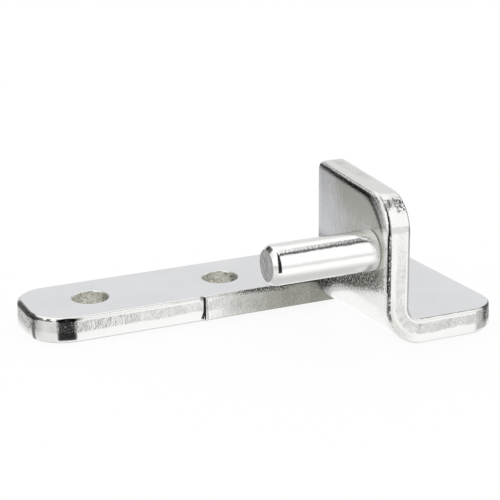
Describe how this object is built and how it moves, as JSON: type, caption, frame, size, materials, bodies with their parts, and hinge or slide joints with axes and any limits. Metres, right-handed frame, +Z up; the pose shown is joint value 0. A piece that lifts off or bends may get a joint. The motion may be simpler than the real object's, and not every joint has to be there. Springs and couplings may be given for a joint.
{
  "type": "pivot strap hinge",
  "caption": "Zinc-plated steel hinge bracket: a flat screw-down strap with a foot, an upright bent tab and a riveted pivot pin that lies beside the strap.",
  "frame": {"origin": "middle of the footprint, on the flat underside that is screwed down", "axes": "+X along the strap from its free end to its foot, +Y across from the upright tab to the strap, +Z up from the underside"},
  "size_m": [0.0868, 0.0492, 0.031],
  "materials": {
    "zinc_plate": "bright zinc plating on stamped steel",
    "turned_steel": "bright zinc plating on turned steel"
  },
  "bodies": {
    "root": {"strap_bracket": "zinc_plate", "pivot_pin": "turned_steel"}
  },
  "joints": []
}
